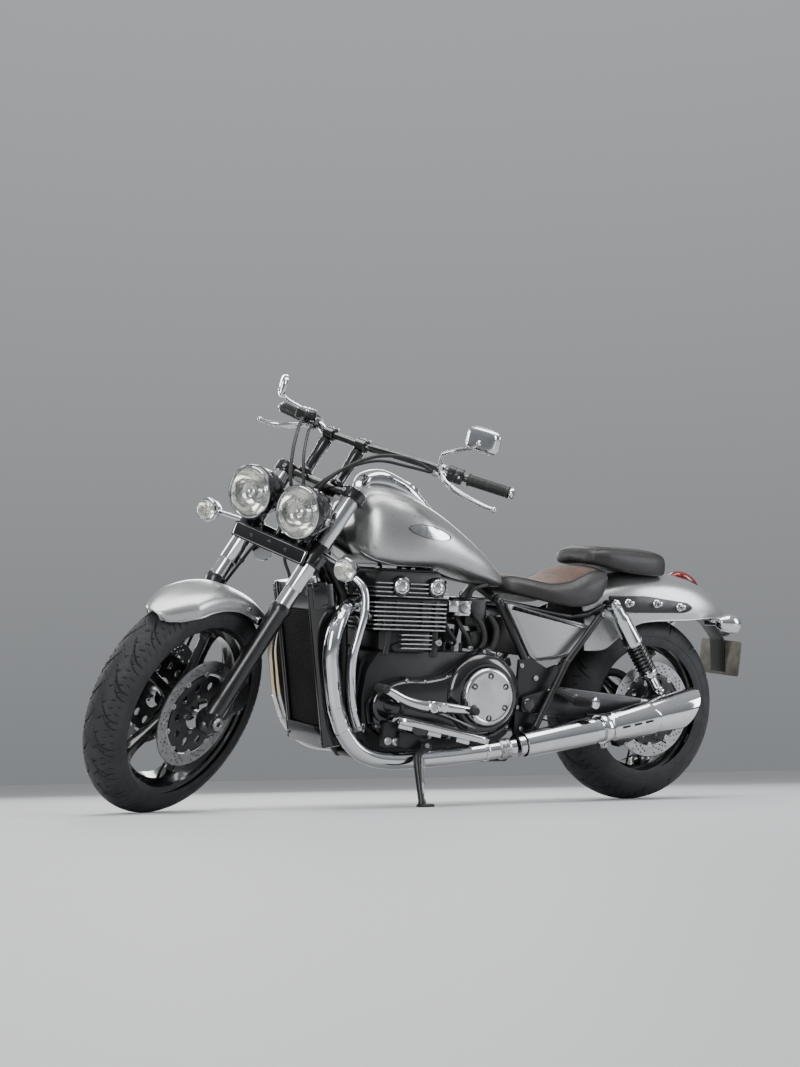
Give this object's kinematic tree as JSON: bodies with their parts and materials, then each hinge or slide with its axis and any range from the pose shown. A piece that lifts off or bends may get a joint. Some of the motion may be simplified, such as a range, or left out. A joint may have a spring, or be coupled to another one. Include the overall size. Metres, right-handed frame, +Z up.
{
  "type": "cruiser motorcycle",
  "caption": "Cruiser motorcycle with finned parallel-twin engine, twin round headlamps, tall bars and twin silencers; wheels spin, the front end steers and the side stand swings.",
  "frame": {"origin": "centre of the parked machine's bounding box, on the ground plane", "axes": "+X forward, +Y to the rider's left, +Z up; the machine is stored leaning left on its side stand with the bars on the left stop"},
  "size_m": [2.2917, 0.8564, 1.3619],
  "materials": {
    "black_steel": "satin black paint",
    "silver_paint": "satin metallic silver",
    "chrome_plate": "polished chrome",
    "black_alloy": "gloss black powder coat",
    "fin_alloy": "black with machined fin edges",
    "engine_block": "black",
    "steel_shaft": "turned",
    "disc_steel": "ground",
    "alloy": "polished",
    "tyre_rubber": "moulded",
    "rubber": "matt",
    "seat_leather": "black with suede top",
    "pad_leather": "black",
    "lens_glass": "clear",
    "red_lens": "red",
    "black_plastic": "moulded"
  },
  "bodies": {
    "chassis": {"frame": "black_steel", "swingarm": "black_steel", "rear_axle": "steel_shaft", "rear_shocks": "chrome_plate", "crankcase": "engine_block", "cylinder_block": "fin_alloy", "cylinder_head": "fin_alloy", "engine_covers": "black_alloy", "throttle_bodies": "alloy", "radiator": "black_plastic", "header_pipes": "chrome_plate", "coolant_pipes": "chrome_plate", "mufflers": "chrome_plate", "fuel_tank": "silver_paint", "instrument_console": "black_plastic", "side_covers": "silver_paint", "rider_seat": "seat_leather", "passenger_seat": "pad_leather", "rear_fender": "silver_paint", "fender_struts": "black_steel", "tail_light": "red_lens", "plate_holder": "black_plastic", "rear_indicators": "chrome_plate", "foot_controls": "alloy", "passenger_pegs": "rubber", "rear_caliper": "black_alloy", "drive_belt": "rubber"},
    "steering": {"bottom_yoke": "black_alloy", "top_yoke": "black_alloy", "fork_legs": "black_alloy", "front_axle": "steel_shaft", "front_fender": "silver_paint", "handlebar": "black_steel", "grips": "rubber", "hand_controls": "alloy", "mirrors": "chrome_plate", "headlights": "lens_glass", "front_indicators": "chrome_plate", "front_plate": "black_plastic", "front_calipers": "black_alloy", "control_cables": "rubber"},
    "front_wheel": {"front_tyre": "tyre_rubber", "front_rim": "black_alloy", "front_discs": "disc_steel"},
    "rear_wheel": {"rear_tyre": "tyre_rubber", "rear_rim": "black_alloy", "rear_disc": "disc_steel", "rear_pulley": "black_alloy"},
    "side_stand": {"side_stand": "black_steel"}
  },
  "joints": [
    {"name": "steering", "type": "hinge", "parent": "chassis", "child": "steering", "pos_m": [0.39111, 0.01298, 0.97896], "axis": [-0.5228, 0.1356, 0.8416], "range_deg": [-68, 0]},
    {"name": "front_wheel_spin", "type": "hinge", "parent": "steering", "child": "front_wheel", "pos_m": [0.85281, -0.0712, 0.30078], "axis": [-0.4778, 0.771, -0.421], "continuous": true},
    {"name": "rear_wheel_spin", "type": "hinge", "parent": "chassis", "child": "rear_wheel", "pos_m": [-0.75578, -0.09718, 0.30859], "axis": [-0.0014, 0.9871, -0.1599], "continuous": true},
    {"name": "side_stand_swing", "type": "hinge", "parent": "chassis", "child": "side_stand", "pos_m": [0.16506, 0.12257, 0.16889], "axis": [0.1118, 0.9585, 0.2624], "range_deg": [0, 78]}
  ]
}
